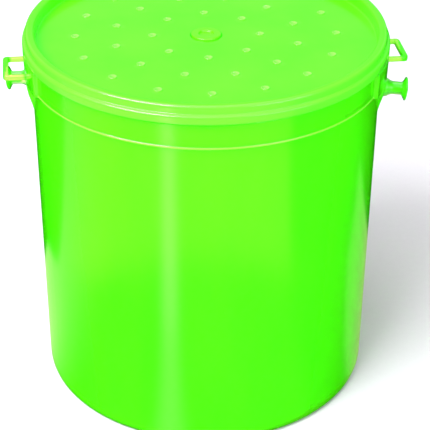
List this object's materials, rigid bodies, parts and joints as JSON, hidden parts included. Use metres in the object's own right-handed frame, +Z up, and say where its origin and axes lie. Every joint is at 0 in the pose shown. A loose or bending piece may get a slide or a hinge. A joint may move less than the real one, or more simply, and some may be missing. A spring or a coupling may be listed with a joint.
{
  "type": "pheromone insect trap",
  "caption": "Green translucent pail trap with a perforated press-on lid, a hanging lure cage, and moulded pegs and loops for a hanging wire.",
  "frame": {"origin": "centre of the pail's base, on the plane it stands on", "axes": "+Z up along the pail's axis; +X through the right-hand ear, between its peg and its loop; +Y towards the back"},
  "size_m": [0.168, 0.15, 0.1614],
  "materials": {
    "green_polypropylene": "translucent moulded polypropylene, glossy outside",
    "cage_polypropylene": "moulded polypropylene, satin",
    "lure_rubber": "matt natural rubber"
  },
  "bodies": {
    "tub": {"tub": "green_polypropylene"},
    "lid": {"lid": "green_polypropylene"},
    "cage": {"lure_cage": "cage_polypropylene"},
    "lure": {"cage_cap": "cage_polypropylene", "lure_septum": "lure_rubber"}
  },
  "joints": [
    {"name": "lid_lift", "type": "slide", "parent": "tub", "child": "lid", "axis": [0, 0, 1], "range_m": [0, 0.06]},
    {"name": "cage_lift", "type": "slide", "parent": "lid", "child": "cage", "axis": [0, 0, 1], "range_m": [0, 0.045]},
    {"name": "cap_lift", "type": "slide", "parent": "cage", "child": "lure", "axis": [0, 0, 1], "range_m": [0, 0.03]}
  ]
}
